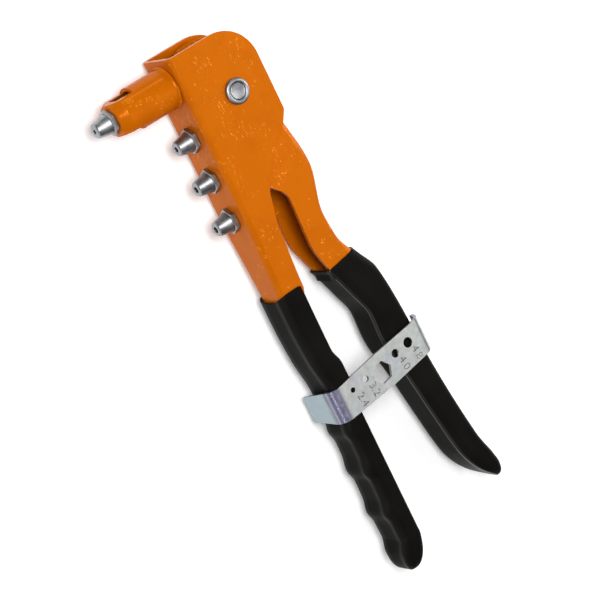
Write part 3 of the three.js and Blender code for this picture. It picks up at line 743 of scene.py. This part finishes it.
def build_clip():
    def wall(toward, lean, leg, inset):
        total = math.pi / 2 - math.radians(lean)
        flat = CLIP_FLAT[0 if toward < 0 else 1]
        points = []
        for k in range(17):
            a = total * k / 16
            points.append((flat + toward * (CLIP_BEND - inset) * math.sin(a),
                           CLIP_TOP - CLIP_BEND + (CLIP_BEND - inset) * math.cos(a)))
        x, z = points[-1]
        points.append((x + toward * leg * math.cos(total), z - leg * math.sin(total)))
        return points

    front, rear = (-1, 4.5, 18.6), (1, 9, 3.2)
    strip = [*reversed(wall(*front, 0)), *wall(*rear, 0), *reversed(wall(*rear, CLIP_SHEET)),
             *wall(*front, CLIP_SHEET)]
    cx, cy = CLIP_AT
    ob = loft("clip_strip", [[(x, y, z) for x, z in strip] for y in (cy - 20, cy + 20)])
    slope = math.tan(math.radians(CLIP_TURN))

    def edge(x, side):
        return (x, cy + (x - cx) * slope + side * CLIP_WIDE / 2)

    face = outline([(-40, -162.2), (-20, -161.9), (8, -159.9), (*edge(33, -1), 3),
                    (38, cy - 4.5, 3), (*edge(38, 1), 1), edge(8, 1), (-20, -145.3),
                    (-40, -145.3)], 8)
    combine(ob, [prism(face, 0, 30)], "INTERSECT")
    leg = outline([(31, -145), (31, -163), (20, -161.9), (1.5, -160.8, 2.2),
                   (1.5, -147.8, 1.2), (22, -145.4)], 8)
    side = loft("cutter", [[(x, y, z) for z, y in leg] for x in (-45, -20.5)])
    wide = box(-20.6, 45, -175, -130, -1, 32)
    m = side.modifiers.new("join", "BOOLEAN")
    m.object, m.operation, m.solver = wide, "UNION", "EXACT"
    bake(side)
    bpy.data.objects.remove(wide)
    combine(ob, [side], "INTERSECT")
    return ob


def on_clip(u, v):
    a = math.radians(CLIP_TURN)
    return (CLIP_AT[0] + u * math.cos(a) - v * math.sin(a),
            CLIP_AT[1] + u * math.sin(a) + v * math.cos(a))


# gauge holes: place along and across the clip, and diameter
GAUGES = ((-18.1, 2.3, 2.6), (-9.5, 2.3, 3.4), (10.8, 2.2, 4.2), (19.4, 2.2, 5.0))
clip = build_clip()
corner_r = HEX_AF / 2 / math.cos(math.pi / 6)
hx, hy = on_clip(0, -0.8)
hexagon = [(hx + u, hy + v) for u, v in circle(corner_r, 6, math.radians(30 + HEX_TURN))]
combine(clip, [prism(hexagon, 20, 31),
               *[rod_z(*on_clip(u, v), d / 2, 20, 31, 40) for u, v, d in GAUGES]])


def stamped(text, u, v):
    """A shallow cutter in the shape of a number, running down across the clip."""
    curve = bpy.data.curves.new("number", "FONT")
    curve.body, curve.size = text, DIGIT_SIZE * MM
    curve.align_x, curve.align_y = "CENTER", "CENTER"
    curve.extrude, curve.resolution_u = DIGIT_DEPTH * MM, 3
    writing = new_object("number", curve)
    graph = bpy.context.evaluated_depsgraph_get()
    mesh = bpy.data.meshes.new_from_object(writing.evaluated_get(graph))
    bpy.data.objects.remove(writing)
    with edited(mesh) as bm:
        bmesh.ops.remove_doubles(bm, verts=bm.verts, dist=SAME)
    x, y = on_clip(u, v)
    place = Matrix.Translation((x * MM, y * MM, CLIP_TOP * MM))
    mesh.transform(place @ Matrix.Rotation(math.radians(CLIP_TURN - 90), 4, "Z"))
    return new_object("cutter", mesh)


# rivet sizes beside the gauge holes, with their places on the clip
SIZES = (("2.4", -16.2, -4.7), ("3.2", -8.2, -4.6), ("4.0", 12.4, -4.6), ("4.8", 21.0, -4.7))
round_edges(clip, 0.26, 3, 40)
bake(clip)
combine(clip, [stamped(*row) for row in SIZES])
finish(clip, "clip", CLIP_ZINC, ["keeper_clip"])

# ---- inner pieces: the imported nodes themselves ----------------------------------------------
INNER = {
    "pivot_spacer": STEEL, "spring_seat": STEEL, "return_spring": WIRE, "jaw_case": STEEL,
    "jaw_plug": STEEL, "jaw_pusher": STEEL, "jaw_spring": WIRE, "jaw_1": STEEL,
    "jaw_2": STEEL, "jaw_3": STEEL, "pull_pin_near": STEEL, "pull_pin_far": STEEL,
}
for node, material in INNER.items():
    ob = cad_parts[node]
    ob.data.materials.clear()
    ob.data.materials.append(material)

# the spring behind the pusher: a copy of its mesh that rides on the jaw carriage
jaw_coil = new_object("jaw_coil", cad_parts["jaw_spring"].data.copy())
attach(jaw_coil, "jaw_carriage")
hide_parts("jaw_spring")
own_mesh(jaw_coil)

# ---- studio ---------------------------------------------------------------------------------
scene = bpy.context.scene
scene.view_settings.view_transform = "Standard"
world = bpy.data.worlds.new("studio")
scene.world = world
world.use_nodes = True
sky = world.node_tree.nodes["Background"].inputs
sky["Color"].default_value = (1, 1, 1, 1)
sky["Strength"].default_value = 0.12

floor_mesh = bpy.data.meshes.new("floor")
FLOOR_HALF, FLOOR_Z = 3, -0.0002
floor_mesh.from_pydata(
    [(x * FLOOR_HALF, y * FLOOR_HALF, FLOOR_Z) for x, y in ((-1, -1), (1, -1), (1, 1), (-1, 1))],
    [], [(0, 1, 2, 3)])
floor = new_object("floor", floor_mesh)
paper = bpy.data.materials.new("paper")
paper.use_nodes = True
surface = paper.node_tree.nodes["Principled BSDF"].inputs
surface["Base Color"].default_value = (0.9, 0.9, 0.9, 1)
surface["Roughness"].default_value = 0.9
surface["Emission Color"].default_value = (1, 1, 1, 1)
surface["Emission Strength"].default_value = 0.2
floor_mesh.materials.append(paper)

CENTRE = Vector((0.0, -0.1, 0.015))


def softbox(name, at, width, height, power):
    """A white panel of light, in metres and watts, turned to the middle of the tool."""
    light = bpy.data.lights.new(name, "AREA")
    light.shape, light.size, light.size_y = "RECTANGLE", width, height
    light.energy = power
    ob = new_object(name, light)
    ob.location = at
    ob.rotation_mode = "QUATERNION"
    ob.rotation_quaternion = (CENTRE - Vector(at)).to_track_quat("-Z", "Y")


for panel in (  # name, place, width, height, power
    ("key", (-0.28, 0.20, 1.02), 0.5, 0.5, 11.5),
    ("over", (0.55, -0.45, 1.0), 0.75, 0.75, 1.3),
    ("side", (0.75, -0.05, 0.30), 0.25, 0.6, 2.0),
    ("front", (-0.82, -0.30, 0.45), 0.7, 0.05, 1.2),
    ("rear", (0.48, 0.80, 0.36), 0.5, 0.08, 0.85),
    ("glint", (0.62, -0.05, 0.62), 0.10, 0.10, 1.6),
):
    softbox(*panel)

LENS, SENSOR = 156.5, 36  # millimetres; a long lens, as in the photograph
CAMERA_AT = (-0.5521, 0.2216, 1.05335)
CAMERA_AXES = ((0.74334, 0.49898, -0.44550), (-0.42151, 0.86654, 0.26727),
               (0.51941, -0.01088, 0.85446))
camera_data = bpy.data.cameras.new("camera")
camera_data.lens, camera_data.sensor_width = LENS, SENSOR
camera = new_object("camera", camera_data)
camera.matrix_world = Matrix.Translation(CAMERA_AT) @ Matrix(CAMERA_AXES).to_4x4()
scene.camera = camera
